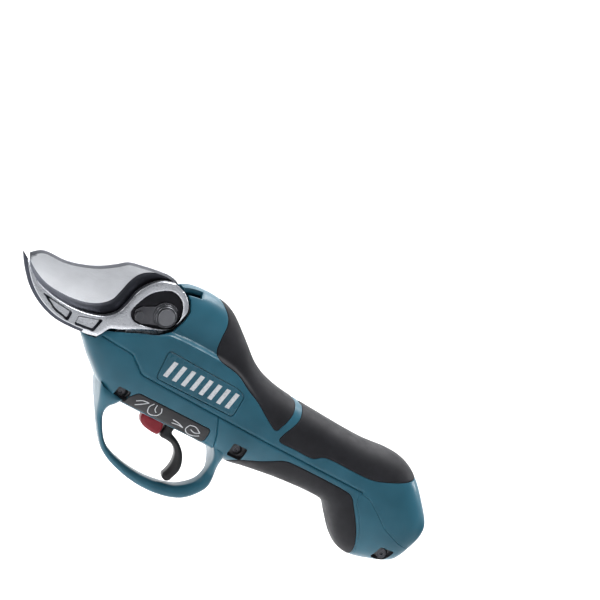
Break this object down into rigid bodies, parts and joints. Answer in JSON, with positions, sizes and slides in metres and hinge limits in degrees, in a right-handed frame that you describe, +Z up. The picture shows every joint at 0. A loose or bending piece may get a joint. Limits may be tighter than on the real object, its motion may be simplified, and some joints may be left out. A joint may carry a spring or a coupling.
{
  "type": "electric pruner",
  "caption": "Hand-held electric pruner with a moving blade over a hooked counter blade, finger guard loop, trigger, lock lever, rubber grips and a power inlet in the butt.",
  "frame": {"origin": "centre of the blade pivot, on the tool's mid plane", "axes": "+X backwards along the tool from the pivot to the butt, +Z up, +Y towards the side away from the pivot nut; the blade turns about Y"},
  "size_m": [0.3055, 0.043, 0.1226],
  "materials": {
    "teal_plastic": "fine moulded texture, satin",
    "grip_rubber": "soft matt",
    "panel_plastic": "satin",
    "dark_panel": "matt with pale pictograms",
    "forged_steel": "satin forged and ground",
    "blade_steel": "polished",
    "dark_steel": "black oxide",
    "gear_steel": "machined",
    "bronze": "sintered",
    "cast_alloy": "cast",
    "copper": "lacquered wire",
    "circuit_board": "solder mask",
    "chip_plastic": "matt",
    "lead_sheath": "smooth",
    "black_plastic": "fine texture",
    "red_plastic": "satin gloss",
    "seal_rubber": "smooth"
  },
  "bodies": {
    "tool": {"housing_left": "teal_plastic", "housing_right": "teal_plastic", "end_cover": "teal_plastic", "front_grip": "grip_rubber", "rear_grip": "grip_rubber", "lower_grip": "grip_rubber", "name_panel_left": "panel_plastic", "name_panel_right": "panel_plastic", "trigger_panel_left": "dark_panel", "trigger_panel_right": "dark_panel", "counter_blade": "forged_steel", "counter_blade_screws": "dark_steel", "pivot_bolt": "dark_steel", "pivot_nut": "dark_steel", "lock_plate": "dark_steel", "lock_screw": "dark_steel", "thrust_washer": "bronze", "gear_frame": "cast_alloy", "case_screws": "dark_steel", "pinion_bearing_front": "gear_steel", "pinion_bearing_rear": "gear_steel", "ring_gear": "gear_steel", "motor_plate": "cast_alloy", "motor_can": "dark_steel", "stator": "copper", "motor_bearing_front": "gear_steel", "motor_bearing_rear": "gear_steel", "controller_board": "circuit_board", "power_transistors": "chip_plastic", "capacitor": "chip_plastic", "motor_leads": "lead_sheath", "supply_leads": "lead_sheath", "power_inlet": "black_plastic", "inlet_contacts": "bronze", "inlet_seal": "seal_rubber", "trigger_pin": "gear_steel", "trigger_spring": "gear_steel", "trigger_sensor": "circuit_board", "lock_pin": "gear_steel", "lock_spring": "gear_steel", "housing_screws": "dark_steel", "end_cover_screw": "dark_steel"},
    "blade": {"cutting_blade": "blade_steel", "blade_bush": "bronze", "sector_gear": "gear_steel", "sector_rivets": "gear_steel"},
    "pinion": {"bevel_pinion": "gear_steel", "planet_carrier": "gear_steel", "planet_pins": "gear_steel"},
    "planet_1": {"planet_gear_1": "bronze"},
    "planet_2": {"planet_gear_2": "bronze"},
    "planet_3": {"planet_gear_3": "bronze"},
    "motor_rotor": {"rotor": "dark_steel", "motor_shaft": "gear_steel", "sun_gear": "gear_steel"},
    "trigger": {"trigger": "black_plastic", "trigger_magnet": "gear_steel"},
    "lock_lever": {"lock_lever": "red_plastic"}
  },
  "joints": [
    {"name": "blade_pivot", "type": "hinge", "parent": "tool", "child": "blade", "pos_m": [0, 0, 0], "axis": [0, 1, 0], "range_deg": [0, 45]},
    {"name": "pinion_spin", "type": "hinge", "parent": "tool", "child": "pinion", "pos_m": [0, 0.0015, 0], "axis": [0.9455, 0, -0.3256], "range_deg": [-1, 181]},
    {"name": "rotor_spin", "type": "hinge", "parent": "tool", "child": "motor_rotor", "pos_m": [0, 0.0015, 0], "axis": [0.9455, 0, -0.3256], "range_deg": [-5, 905]},
    {"name": "trigger_pull", "type": "hinge", "parent": "tool", "child": "trigger", "pos_m": [0.0393, 0, -0.05], "axis": [0, -1, 0], "range_deg": [0, 12], "stiffness_Nm_per_rad": 0.1, "springref_deg": -17.19, "deforming": ["trigger_spring"]},
    {"name": "lock_lever_press", "type": "hinge", "parent": "tool", "child": "lock_lever", "pos_m": [0.0313, 0, -0.054], "axis": [0, 1, 0], "range_deg": [0, 9], "stiffness_Nm_per_rad": 0.01, "springref_deg": -17.19, "deforming": ["lock_spring"]},
    {"name": "planet_1_spin", "type": "hinge", "parent": "pinion", "child": "planet_1", "pos_m": [-0.00244, 0.0015, -0.00709], "axis": [0.9455, 0, -0.3256], "range_deg": [-482, 2]},
    {"name": "planet_2_spin", "type": "hinge", "parent": "pinion", "child": "planet_2", "pos_m": [0.00122, 0.008, 0.00355], "axis": [0.9455, 0, -0.3256], "range_deg": [-482, 2]},
    {"name": "planet_3_spin", "type": "hinge", "parent": "pinion", "child": "planet_3", "pos_m": [0.00122, -0.005, 0.00355], "axis": [0.9455, 0, -0.3256], "range_deg": [-482, 2]}
  ],
  "couplings": [
    {"joint": "pinion_spin", "follows": "blade_pivot", "ratio": 4},
    {"joint": "rotor_spin", "follows": "blade_pivot", "ratio": 20},
    {"joint": "planet_1_spin", "follows": "blade_pivot", "ratio": -10.667},
    {"joint": "planet_2_spin", "follows": "blade_pivot", "ratio": -10.667},
    {"joint": "planet_3_spin", "follows": "blade_pivot", "ratio": -10.667}
  ]
}
